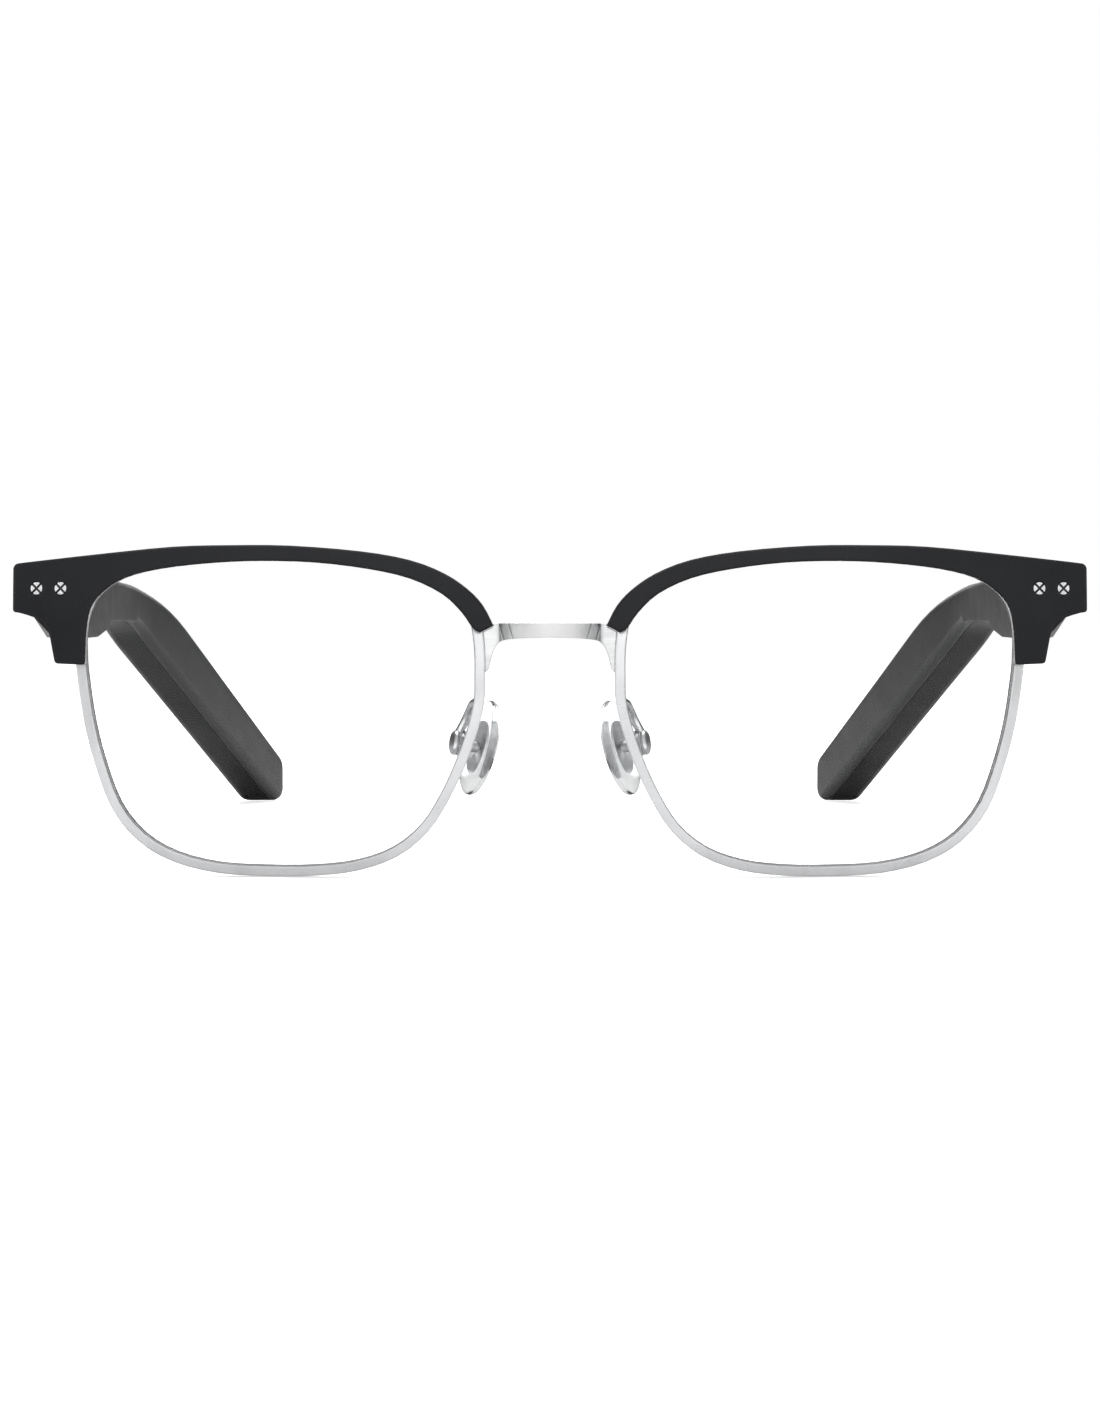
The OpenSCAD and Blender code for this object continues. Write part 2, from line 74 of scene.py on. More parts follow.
# camera, floor and light
view = {"distance": 0.370, "height": 0.0359, "pitch": 2.14, "lens": 71.2}
cameraData = bpy.data.cameras.new("frontCamera")
cameraData.sensor_width = 36
cameraData.lens = view["lens"]
cameraData.clip_start = 0.01
camera = bpy.data.objects.new("frontCamera", cameraData)
camera.location = (0, browFront - view["distance"], view["height"])
camera.rotation_euler = (math.radians(90 - view["pitch"]), 0, 0)
bpy.context.scene.collection.objects.link(camera)
bpy.context.scene.camera = camera
bpy.context.scene.view_settings.view_transform = "Standard"

# radiance stands for brightness: watts follow from it and from the panel's size
studio = {
    "overhead": {"at": (0, 0, 0.9), "size": (1.2, 1.0), "radiance": 3.6},
    "leftPanel": {"at": (1.1, -0.35, 0.3), "size": (0.4, 0.8), "radiance": 2.0},
    "rightPanel": {"at": (-1.1, -0.35, 0.3), "size": (0.4, 0.8), "radiance": 2.0},
    "backPanel": {"at": (0, 1.3, 0.5), "size": (1.4, 0.5), "radiance": 0.9},
}
studioAim = Vector((0, 0, 0.02))
for name, panel in studio.items():
    lampData = bpy.data.lights.new(name, "AREA")
    lampData.shape = "RECTANGLE"
    lampData.size, lampData.size_y = panel["size"]
    lampData.energy = math.pi * panel["size"][0] * panel["size"][1] * panel["radiance"]
    lamp = bpy.data.objects.new(name, lampData)
    lamp.location = panel["at"]
    aim = studioAim - lamp.location
    lamp.rotation_euler = aim.to_track_quat("-Z", "Y").to_euler()
    lamp.visible_camera = False
    lamp.visible_transmission = False
    bpy.context.scene.collection.objects.link(lamp)

# the room is white behind the glasses; what they reflect is brightest in front and overhead
room = {
    "seen": 1.0, "dim": 0.12, "front": 0.98, "sky": 0.4, "skyFull": 0.8, "frontFrom": 0.5, "frontTo": 0.93}
world = bpy.data.worlds.new("paleRoom")
bpy.context.scene.world = world
world.use_nodes = True


def addMath(tree, operation, a, b):
    node = tree.nodes.new("ShaderNodeMath")
    node.operation = operation
    for socket, value in zip(node.inputs, (a, b)):
        if isinstance(value, (int, float)):
            socket.default_value = value
        else:
            tree.links.new(value, socket)
    return node.outputs[0]


def addRange(tree, value, low, high, toLow=0.0, toHigh=1.0):
    node = tree.nodes.new("ShaderNodeMapRange")
    tree.links.new(value, node.inputs["Value"])
    for label, number in (("From Min", low), ("From Max", high), ("To Min", toLow), ("To Max", toHigh)):
        if isinstance(number, (int, float)):
            node.inputs[label].default_value = number
        else:
            tree.links.new(number, node.inputs[label])
    return node.outputs["Result"]


def straightRays(tree):
    rays = tree.nodes.new("ShaderNodeLightPath")
    return addMath(tree, "MAXIMUM", rays.outputs["Is Camera Ray"], rays.outputs["Is Transmission Ray"])


tree = world.node_tree
toSky = tree.nodes.new("ShaderNodeSeparateXYZ")
tree.links.new(tree.nodes.new("ShaderNodeTexCoord").outputs["Generated"], toSky.inputs[0])
towardsFront = addMath(tree, "MULTIPLY", toSky.outputs["Y"], -1)
ahead = addRange(tree, towardsFront, room["frontFrom"], room["frontTo"], 0, room["front"])
above = addRange(tree, toSky.outputs["Z"], 0, room["skyFull"], room["dim"], room["sky"])
reflected = addMath(tree, "ADD", ahead, above)
seen = addRange(tree, straightRays(tree), 0, 1, reflected, room["seen"])
tree.links.new(seen, tree.nodes["Background"].inputs["Strength"])
tree.nodes["Background"].inputs["Color"].default_value = (1, 1, 1, 1)
print("camera, light and room are set")


# shared shader groups
def newGroup(name, inputs, outputs):
    group = bpy.data.node_groups.new(name, "ShaderNodeTree")
    for label, kind, value in inputs:
        socket = group.interface.new_socket(label, in_out="INPUT", socket_type=kind)
        socket.default_value = value
    for label in outputs:
        group.interface.new_socket(label, in_out="OUTPUT", socket_type="NodeSocketFloat")
    return group, group.nodes.new("NodeGroupInput"), group.nodes.new("NodeGroupOutput")


def addNoise(tree, vector, scale, detail, roughness=0.5):
    node = tree.nodes.new("ShaderNodeTexNoise")
    node.inputs["Detail"].default_value = detail
    node.inputs["Roughness"].default_value = roughness
    tree.links.new(vector, node.inputs["Vector"])
    if isinstance(scale, (int, float)):
        node.inputs["Scale"].default_value = scale
    else:
        tree.links.new(scale, node.inputs["Scale"])
    return node.outputs["Fac"]


def objectPlace(tree):
    return tree.nodes.new("ShaderNodeTexCoord").outputs["Object"]


# the fine spark-eroded skin of a moulding tool
moldLook = {"detail": 3, "grain": 0.6, "cloudScale": 70, "cloudDetail": 4, "cloud": (0.35, 0.68)}
moldSkin, skinIn, skinOut = newGroup(
    "moldSkin", [("Cells per metre", "NodeSocketFloat", 5000)], ["Height", "Cloud"])
place = objectPlace(moldSkin)
fine = addNoise(moldSkin, place, skinIn.outputs[0], moldLook["detail"], moldLook["grain"])
cells = moldSkin.nodes.new("ShaderNodeTexVoronoi")
cells.feature = "SMOOTH_F1"
moldSkin.links.new(place, cells.inputs["Vector"])
moldSkin.links.new(skinIn.outputs[0], cells.inputs["Scale"])
moldSkin.links.new(addMath(moldSkin, "ADD", fine, cells.outputs["Distance"]), skinOut.inputs["Height"])
clouds = addNoise(moldSkin, place, moldLook["cloudScale"], moldLook["cloudDetail"])
moldSkin.links.new(addRange(moldSkin, clouds, *moldLook["cloud"]), skinOut.inputs["Cloud"])

# rubbed corners: convex edges, broken up by noise
wearLook = {"span": 0.08, "patchScale": 240, "patchDetail": 5, "patches": (0.38, 0.62)}
edgeWear, wearIn, wearOut = newGroup(
    "edgeWear", [("Start", "NodeSocketFloat", 0.53), ("Amount", "NodeSocketFloat", 0.5)], ["Mask"])
corners = edgeWear.nodes.new("ShaderNodeNewGeometry").outputs["Pointiness"]
wornFully = addMath(edgeWear, "ADD", wearIn.outputs["Start"], wearLook["span"])
worn = addRange(edgeWear, corners, wearIn.outputs["Start"], wornFully)
spots = addNoise(edgeWear, objectPlace(edgeWear), wearLook["patchScale"], wearLook["patchDetail"])
patches = addRange(edgeWear, spots, *wearLook["patches"])
edgeWear.links.new(
    addMath(edgeWear, "MULTIPLY", addMath(edgeWear, "MULTIPLY", worn, patches), wearIn.outputs["Amount"]),
    wearOut.inputs["Mask"])

# finger marks: slow swirls that only change how shiny a surface is
swirlLook = {"scale": 110, "detail": 5, "distortion": 1.2, "from": 0.35, "to": 0.65}
fingerMarks, marksIn, marksOut = newGroup(
    "fingerMarks",
    [("Shiniest", "NodeSocketFloat", 0.3), ("Dullest", "NodeSocketFloat", 0.45)],
    ["Roughness"])
swirl = fingerMarks.nodes.new("ShaderNodeTexNoise")
swirl.inputs["Scale"].default_value = swirlLook["scale"]
swirl.inputs["Detail"].default_value = swirlLook["detail"]
swirl.inputs["Distortion"].default_value = swirlLook["distortion"]
fingerMarks.links.new(objectPlace(fingerMarks), swirl.inputs["Vector"])
gloss = addRange(
    fingerMarks, swirl.outputs["Fac"], swirlLook["from"], swirlLook["to"],
    marksIn.outputs["Shiniest"], marksIn.outputs["Dullest"])
fingerMarks.links.new(gloss, marksOut.inputs["Roughness"])

# lines left by a brushing wheel, drawn out along one axis
brushLook = {
    "detail": 3, "grain": 0.6, "streakScale": 1500, "streakDetail": 4, "streaks": (0.35, 0.65)}
brushLines, brushIn, brushOut = newGroup(
    "brushLines",
    [("Stretch", "NodeSocketVector", (0.03, 1, 1)), ("Lines per metre", "NodeSocketFloat", 9000)],
    ["Height", "Streak"])
drawn = brushLines.nodes.new("ShaderNodeVectorMath")
drawn.operation = "MULTIPLY"
brushLines.links.new(objectPlace(brushLines), drawn.inputs[0])
brushLines.links.new(brushIn.outputs["Stretch"], drawn.inputs[1])
scratches = addNoise(
    brushLines, drawn.outputs[0], brushIn.outputs["Lines per metre"], brushLook["detail"], brushLook["grain"])
brushLines.links.new(scratches, brushOut.inputs["Height"])
streaks = addNoise(brushLines, drawn.outputs[0], brushLook["streakScale"], brushLook["streakDetail"])
brushLines.links.new(addRange(brushLines, streaks, *brushLook["streaks"]), brushOut.inputs["Streak"])


# materials
def newMaterial(name, settings):
    material = bpy.data.materials.new(name)
    material.use_nodes = True
    shader = material.node_tree.nodes["Principled BSDF"]
    for label, value in settings.items():
        shader.inputs[label].default_value = value
    return material, material.node_tree, shader


def addGroup(tree, group, values=None):
    node = tree.nodes.new("ShaderNodeGroup")
    node.node_tree = group
    for label, value in (values or {}).items():
        node.inputs[label].default_value = value
    return node


def addMix(tree, factor, a, b):
    node = tree.nodes.new("ShaderNodeMix")
    node.data_type = "RGBA"
    if isinstance(factor, (int, float)):
        node.inputs[0].default_value = factor
    else:
        tree.links.new(factor, node.inputs[0])
    for socket, value in ((node.inputs[6], a), (node.inputs[7], b)):
        if isinstance(value, tuple):
            socket.default_value = (*value, 1)
        else:
            tree.links.new(value, socket)
    return node.outputs[2]


# edges shaded as if they were rounded
def easedNormal(tree, radius):
    node = tree.nodes.new("ShaderNodeBevel")
    node.samples = 6
    node.inputs["Radius"].default_value = radius
    return node.outputs["Normal"]


def addBump(tree, shader, height, strength, distance, eased=None):
    node = tree.nodes.new("ShaderNodeBump")
    if eased:
        tree.links.new(eased, node.inputs["Normal"])
    node.inputs["Strength"].default_value = strength
    node.inputs["Distance"].default_value = distance
    tree.links.new(height, node.inputs["Height"])
    tree.links.new(node.outputs["Normal"], shader.inputs["Normal"])


wearStart = {"plastic": 0.54, "metal": 0.53}
bumpHeight = {"plastic": 0.00002, "metal": 0.00001}


def plastic(name, look):
    material, tree, shader = newMaterial(name, {"Specular IOR Level": look["specular"], "IOR": 1.5})
    skin = addGroup(tree, moldSkin, {"Cells per metre": look["cells"]})
    wear = addGroup(tree, edgeWear, {"Start": wearStart["plastic"], "Amount": look["wear"]})
    marks = addGroup(tree, fingerMarks, {"Shiniest": look["rough"][0], "Dullest": look["rough"][1]})
    cloudy = addMix(tree, skin.outputs["Cloud"], look["dark"], look["light"])
    tree.links.new(addMix(tree, wear.outputs["Mask"], cloudy, look["rubbed"]), shader.inputs["Base Color"])
    tree.links.new(marks.outputs["Roughness"], shader.inputs["Roughness"])
    eased = easedNormal(tree, look["eased"]) if "eased" in look else None
    addBump(tree, shader, skin.outputs["Height"], look["bump"], bumpHeight["plastic"], eased)
    return material


def vectorMath(tree, operation, *values):
    node = tree.nodes.new("ShaderNodeVectorMath")
    node.operation = operation
    for socket, value in zip(node.inputs, values):
        if isinstance(value, tuple):
            socket.default_value = value
        else:
            tree.links.new(value, socket)
    return node.outputs["Value" if operation == "DOT_PRODUCT" else "Vector"]


# how far a surface faces the middle of its lens, the mask for the painted shade on the rims
def towardsLens(tree, normal, look):
    place = objectPlace(tree)
    offset = vectorMath(tree, "MULTIPLY", vectorMath(tree, "SIGN", place), look["lensMiddle"])
    offset = vectorMath(tree, "ADD", offset, (0, 0, look["lensHeight"]))
    inward = vectorMath(tree, "MULTIPLY", vectorMath(tree, "SUBTRACT", offset, place), (1, 0, 1))
    facing = vectorMath(tree, "DOT_PRODUCT", vectorMath(tree, "NORMALIZE", inward), normal)
    return addRange(tree, facing, look["from"], look["to"])


def metal(name, look):
    material, tree, shader = newMaterial(name, {"Metallic": 1, "Specular IOR Level": 0.5})
    lines = addGroup(tree, brushLines, {"Stretch": look["stretch"], "Lines per metre": look["lines"]})
    wear = addGroup(tree, edgeWear, {"Start": wearStart["metal"], "Amount": look["wear"]})
    marks = addGroup(tree, fingerMarks, {"Shiniest": look["rough"][0], "Dullest": look["rough"][1]})
    streaky = addMix(tree, lines.outputs["Streak"], look["dark"], look["light"])
    # painted highlight: the bridge is painted near white in its middle, fading to painted shade further out, by
    # distance from the middle
    if "ends" in look:
        across = tree.nodes.new("ShaderNodeSeparateXYZ")
        tree.links.new(objectPlace(tree), across.inputs[0])
        outward = addMath(tree, "ABSOLUTE", across.outputs["X"], 0)
        highlightFade = addMix(
            tree, addRange(tree, outward, look["ends"]["start"], look["ends"]["dull"]),
            look["ends"]["middle"], look["ends"]["colour"])
        beyond = addRange(tree, outward, look["ends"]["dull"], look["ends"]["stop"])
        streaky = addMix(tree, beyond, highlightFade, streaky)
    colour = addMix(tree, wear.outputs["Mask"], streaky, look["rubbed"])
    eased = easedNormal(tree, look["eased"]) if "eased" in look else None
    # painted shade: rim faces turned towards the middle of their lens are darkened, standing in for the shade of
    # the lens groove
    if "shadow" in look:
        colour = addMix(tree, towardsLens(tree, eased, look["shadow"]), colour, look["shadow"]["colour"])
    tree.links.new(colour, shader.inputs["Base Color"])
    tree.links.new(marks.outputs["Roughness"], shader.inputs["Roughness"])
    addBump(tree, shader, lines.outputs["Height"], look["bump"], bumpHeight["metal"], eased)
    return material


finish = {
    "black_brow": plastic("satinBrow", {
        "dark": (0.0095, 0.0100, 0.0118), "light": (0.0135, 0.0142, 0.0165), "rubbed": (0.035, 0.036, 0.04),
        "rough": (0.25, 0.32), "specular": 0.24, "cells": 9000, "bump": 0.05, "wear": 0,
        "eased": 0.0006}),
    # painted light: the temple's inner cover is given a lighter black than its shell, standing in for the lit look
    # of the inner face
    "black_temple": plastic("templeOutside", {
        "dark": (0.008, 0.008, 0.009), "light": (0.0115, 0.0117, 0.013), "rubbed": (0.03, 0.03, 0.033),
        "rough": (0.32, 0.42), "specular": 0.25, "cells": 8500, "bump": 0.06, "wear": 0.4}),
    "black_cover": plastic("templeInside", {
        "dark": (0.020, 0.0203, 0.0215), "light": (0.027, 0.0273, 0.029), "rubbed": (0.05, 0.05, 0.052),
        "rough": (0.28, 0.36), "specular": 0.5, "cells": 8500, "bump": 0.06, "wear": 0.3}),
    "silver_rim": metal("polishedRim", {
        "dark": (0.84, 0.845, 0.855), "light": (0.93, 0.935, 0.94), "rubbed": (0.96, 0.96, 0.96),
        "rough": (0.24, 0.34), "stretch": (0.1, 1, 0.1), "lines": 5200, "bump": 0.1, "wear": 0,
        "eased": 0.0004,
        "shadow": {"lensMiddle": (0.034, 0, 0), "lensHeight": 0.022, "from": 0.12, "to": 0.35,
                   "colour": (0.13, 0.13, 0.135)}}),
    "brushed_silver": metal("brushedBridge", {
        "dark": (0.70, 0.705, 0.715), "light": (0.82, 0.825, 0.83), "rubbed": (0.95, 0.95, 0.95),
        "rough": (0.2, 0.28), "stretch": (0.04, 1, 1), "lines": 7000, "bump": 0.12, "wear": 0.6,
        "eased": 0.0002,
        # painted highlight in the middle and painted shade further out, both set by distance from the middle
        "ends": {"start": 0.0008, "dull": 0.0066, "stop": 0.0072, "middle": (0.98, 0.98, 0.98),
                 "colour": (0.4, 0.405, 0.41)}}),
    "pad_wire": metal("padWireSilver", {
        "dark": (0.42, 0.425, 0.43), "light": (0.56, 0.565, 0.57), "rubbed": (0.8, 0.8, 0.8),
        "rough": (0.22, 0.32), "stretch": (0.1, 1, 0.1), "lines": 5200, "bump": 0.1, "wear": 0.5}),
    "silver_rivet": metal("rivetHeads", {
        "dark": (0.80, 0.81, 0.82), "light": (0.92, 0.93, 0.94), "rubbed": (0.95, 0.95, 0.95),
        "rough": (0.4, 0.5), "stretch": (1, 1, 0.2), "lines": 9000, "bump": 0.3, "wear": 0.7}),
    "steel": metal("hingeSteel", {
        "dark": (0.48, 0.485, 0.495), "light": (0.60, 0.605, 0.615), "rubbed": (0.82, 0.82, 0.82),
        "rough": (0.25, 0.38), "stretch": (0.12, 0.12, 1), "lines": 8000, "bump": 0.3, "wear": 0.7}),
    "gold": metal("contactGold", {
        "dark": (0.75, 0.50, 0.20), "light": (0.88, 0.62, 0.28), "rubbed": (0.95, 0.74, 0.40),
        "rough": (0.16, 0.28), "stretch": (1, 0.1, 1), "lines": 9000, "bump": 0.2, "wear": 0.6}),
    "magnet": metal("platedMagnet", {
        "dark": (0.45, 0.44, 0.43), "light": (0.56, 0.55, 0.54), "rubbed": (0.72, 0.71, 0.70),
        "rough": (0.3, 0.45), "stretch": (1, 1, 1), "lines": 3000, "bump": 0.2, "wear": 0.6}),
    "dark_mesh": metal("grilleSteel", {
        "dark": (0.035, 0.035, 0.037), "light": (0.06, 0.06, 0.063), "rubbed": (0.2, 0.2, 0.2),
        "rough": (0.35, 0.5), "stretch": (1, 0.1, 1), "lines": 6000, "bump": 0.3, "wear": 0.7}),
    "black_module": plastic("speakerHousing", {
        "dark": (0.012, 0.012, 0.013), "light": (0.02, 0.02, 0.021), "rubbed": (0.05, 0.05, 0.05),
        "rough": (0.4, 0.55), "specular": 0.4, "cells": 4000, "bump": 0.4, "wear": 0.5}),
    "green_board": plastic("solderMask", {
        "dark": (0.008, 0.075, 0.025), "light": (0.014, 0.12, 0.04), "rubbed": (0.4, 0.3, 0.1),
        "rough": (0.25, 0.4), "specular": 0.5, "cells": 3000, "bump": 0.3, "wear": 0.4}),
    "amber_film": plastic("polyimideFilm", {
        "dark": (0.34, 0.13, 0.02), "light": (0.48, 0.20, 0.04), "rubbed": (0.6, 0.34, 0.12),
        "rough": (0.2, 0.35), "specular": 0.5, "cells": 2500, "bump": 0.15, "wear": 0.3}),
    "battery_sleeve": plastic("cellSleeve", {
        "dark": (0.03, 0.05, 0.12), "light": (0.05, 0.08, 0.17), "rubbed": (0.3, 0.3, 0.32),
        "rough": (0.25, 0.4), "specular": 0.5, "cells": 2500, "bump": 0.2, "wear": 0.4}),
}

# lens glass: clear and coated against glare, with a trace of wiping in its gloss
lensLook = {"wipe": (0, 0.03), "grain": 400, "detail": 3, "bump": 0.02}
finish["clear_lens"], tree, shader = newMaterial("lensGlass", {
    "Base Color": (1, 1, 1, 1), "Transmission Weight": 1, "IOR": 1.12})
marks = addGroup(tree, fingerMarks, {"Shiniest": lensLook["wipe"][0], "Dullest": lensLook["wipe"][1]})
tree.links.new(marks.outputs["Roughness"], shader.inputs["Roughness"])
waviness = addNoise(tree, objectPlace(tree), lensLook["grain"], lensLook["detail"])
addBump(tree, shader, waviness, lensLook["bump"], bumpHeight["metal"])

# silicone: clear with a soft skin, with painted shade making it greyer where it is seen edge on
padLook = {
    "clear": (0.80, 0.81, 0.81), "cloud": (0.73, 0.74, 0.745), "edge": (0.1, 0.103, 0.106),
    "cells": 2600, "wipe": (0.05, 0.14), "blend": 0.5, "edgeFrom": 0.4, "edgeTo": 0.85, "bump": 0.12}
finish["clear_silicone"], tree, shader = newMaterial("clearSilicone", {
    "Transmission Weight": 1, "IOR": 1.3, "Coat Weight": 0.15, "Coat Roughness": 0.12})
skin = addGroup(tree, moldSkin, {"Cells per metre": padLook["cells"]})
marks = addGroup(tree, fingerMarks, {"Shiniest": padLook["wipe"][0], "Dullest": padLook["wipe"][1]})
edgeOn = tree.nodes.new("ShaderNodeLayerWeight")
edgeOn.inputs["Blend"].default_value = padLook["blend"]
paintedEdgeShade = addRange(tree, edgeOn.outputs["Facing"], padLook["edgeFrom"], padLook["edgeTo"])
milky = addMix(tree, skin.outputs["Cloud"], padLook["clear"], padLook["cloud"])
tree.links.new(addMix(tree, paintedEdgeShade, milky, padLook["edge"]), shader.inputs["Base Color"])
tree.links.new(marks.outputs["Roughness"], shader.inputs["Roughness"])
addBump(tree, shader, skin.outputs["Height"], padLook["bump"], bumpHeight["plastic"])

# floor: matt and nearly white
floorLook = {
    "size": 8, "pale": (0.88, 0.88, 0.88), "paler": (0.92, 0.92, 0.92), "bounce": (0.5, 0.5, 0.505),
    "glow": 0.62, "mottle": 30, "detail": 4, "from": 0.3, "to": 0.7, "below": 0.0002}
floorMaterial, tree, shader = newMaterial("paleFloor", {
    "Roughness": 0.9, "Specular IOR Level": 0.1, "Emission Color": (1, 1, 1, 1)})
dapple = addNoise(tree, objectPlace(tree), floorLook["mottle"], floorLook["detail"])
mottle = addRange(tree, dapple, floorLook["from"], floorLook["to"])
lookedAt = straightRays(tree)
matt = addMix(tree, mottle, floorLook["pale"], floorLook["paler"])
tree.links.new(addMix(tree, lookedAt, floorLook["bounce"], matt), shader.inputs["Base Color"])
tree.links.new(addMath(tree, "MULTIPLY", lookedAt, floorLook["glow"]), shader.inputs["Emission Strength"])
floorMesh = bmesh.new()
bmesh.ops.create_grid(floorMesh, x_segments=2, y_segments=2, size=floorLook["size"])
bmesh.ops.translate(floorMesh, verts=floorMesh.verts, vec=(0, 0, cadBox[0][2] - floorLook["below"]))
floorData = bpy.data.meshes.new("studioFloor")
floorMesh.to_mesh(floorData)
floorMesh.free()
studioFloor = bpy.data.objects.new("studioFloor", floorData)
studioFloor.data.materials.append(floorMaterial)
bpy.context.scene.collection.objects.link(studioFloor)
print("materials are made:", len(finish))


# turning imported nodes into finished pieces
frontCurve = {"radius": 150, "across": 22, "up": 22, "behind": 148.83, "spread": 0.15, "facing": 0.9}


def curveMiddle(side):
    return Vector((
        side * frontCurve["across"] * mm, depthBack(frontCurve["behind"]), frontCurve["up"] * mm))


def depthOf(point, side):
    return frontCurve["radius"] - (point - curveMiddle(side)).length / mm


slotOf = {part["node"]: part["material_slot"] for part in frame["record"]["subparts"]}


# faces that lie on the front's own curve take its exact normals
def curvedNormals(data, side):
    normals = [(0, 0, 0)] * len(data.loops)
    centre = curveMiddle(side)
    for face in data.polygons:
        depths = [depthOf(data.vertices[index].co, side) for index in face.vertices]
        outward = (Vector(face.center) - centre).normalized()
        facing = outward.dot(face.normal)
        if max(depths) - min(depths) < frontCurve["spread"] and abs(facing) > frontCurve["facing"]:
            turn = math.copysign(1, facing)
            for loop in face.loop_indices:
                point = data.vertices[data.loops[loop].vertex_index].co
                normals[loop] = (point - centre).normalized() * turn
    data.normals_split_custom_set(normals)


def finishPiece(bm, name, node, extra=(), crease=38, curved=0):
    slot = slotOf[node]
    bmesh.ops.triangulate(bm, faces=[face for face in bm.faces if len(face.verts) > 4])
    for face in bm.faces:
        face.smooth = True
    for edge in bm.edges:
        edge.smooth = not edge.is_manifold or edge.calc_face_angle() < math.radians(crease)
    data = bpy.data.meshes.new(name)
    bm.to_mesh(data)
    bm.free()
    for part in [finish[slot]] + list(extra):
        data.materials.append(part)
    piece = bpy.data.objects.new(name, data)
    bpy.context.scene.collection.objects.link(piece)
    if curved:
        curvedNormals(data, curved)
    else:
        weighted = piece.modifiers.new("weightedNormals", "WEIGHTED_NORMAL")
        weighted.keep_sharp = True
    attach(piece, bodyOf[node])
    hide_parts(node)
    return piece


def copyOf(node, flat):
    bm = bmesh.new()
    bm.from_mesh(nodes[node].data)
    bmesh.ops.remove_doubles(bm, verts=bm.verts[:], dist=0.003 * mm)
    if flat:
        bmesh.ops.dissolve_limit(
            bm, angle_limit=math.radians(flat), verts=bm.verts[:], edges=bm.edges[:],
            use_dissolve_boundaries=False, delimit=set())
    return bm


def sharpEdges(bm, angle):
    return [edge for edge in bm.edges if edge.is_manifold and edge.calc_face_angle() > math.radians(angle)]


def roundOff(bm, edges, width, segments):
    bmesh.ops.bevel(
        bm, geom=edges, offset=width * mm, offset_type="OFFSET", affect="EDGES", segments=segments,
        profile=0.5, material=-1, clamp_overlap=False, loop_slide=True)


def middle(edge):
    return (edge.verts[0].co + edge.verts[1].co) / 2


# brow caps, rims, lenses and bridge
frontPieces = {"_brow_cap": ("BrowCap", 0.3), "_eyewire": ("Rim", 0.3), "_lens": ("Lens", 0)}
for sideName, side in sides.items():
    for part, (name, flat) in frontPieces.items():
        finishPiece(copyOf(sideName + part, flat), sideName + name, sideName + part, curved=side)
finishPiece(copyOf("bridge", 0.3), "bridgeBar", "bridge", crease=20)
print("brow caps, rims, lenses and bridge are in")

# temples
temple = {
    "splay": 3, "shellRound": 2.0, "shellSteps": 6, "coverRound": 1.25, "coverSteps": 5,
    "seam": 0.12, "seamSteps": 2, "recessMiddle": 38.1, "recessEnd": 20, "tipFrom": 120,
    "roundFrom": 3, "proud": 0.02, "bellyEnd": 75, "broadArea": 6}
hingeAt = {joint["child"]: Vector(joint["pos_m"]) for joint in frame["joints"]}


def roundTemple(sideName, side, part, facing, width, steps):
    node = sideName + "_temple_" + part
    turn = Matrix.Rotation(math.radians(temple["splay"] * side), 3, "Z")
    hinge = hingeAt[bodyOf[node]]

    def local(vector):
        turned = turn @ vector
        return Vector((turned.x * side, turned.y, turned.z))

    bm = copyOf(node, 0.3)
    packed = BVHTree.FromBMesh(bm)
    outline = []
    for edge in sharpEdges(bm, 35):
        faces = sorted(edge.link_faces, key=lambda face: -facing * local(face.normal).x)
        broad, other = (local(face.normal) for face in faces)
        along, up = local(middle(edge) - hinge).y / mm, middle(edge).z / mm
        if along < temple["roundFrom"]:
            continue
        if along > temple["tipFrom"] and max(abs(broad.x), abs(other.x)) < 0.55:
            outline.append(edge)
            continue
        if facing * broad.x < 0.85 or faces[0].calc_area() < temple["broadArea"] * mm * mm or other.y < -0.95:
            continue
        if part == "cover" and along < temple["recessEnd"] and (up - temple["recessMiddle"]) * other.z < 0:
            continue
        if other.z < -0.5 and along < temple["bellyEnd"]:
            continue
        outline.append(edge)
    roundOff(bm, outline, width, steps)
    roundOff(bm, sharpEdges(bm, 50), temple["seam"], temple["seamSteps"])
    for vert in bm.verts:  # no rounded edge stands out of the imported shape
        near, outward = packed.find_nearest(vert.co)[:2]
        if (vert.co - near).dot(outward) > temple["proud"] * mm:
            vert.co = near
    finishPiece(bm, sideName + "Temple" + part.capitalize(), node)


for sideName, side in sides.items():
    roundTemple(sideName, side, "shell", 1, temple["shellRound"], temple["shellSteps"])
    roundTemple(sideName, side, "cover", -1, temple["coverRound"], temple["coverSteps"])
print("temples are rounded")

# small metal pieces
easing = {"angle": 40, "steps": 2, "screws": 0.05}
smallMetal = {
    "brow_rivets": 0.05, "hinge_front_leaf": 0.12, "hinge_rear_leaf": 0.12, "hinge_screw": 0.05,
    "leaf_screws": 0.05, "pad_core": 0.08, "speaker_grille": 0.04, "charge_contacts": 0.08}
rivetSlot = {"from": 0.04, "to": 0.5}
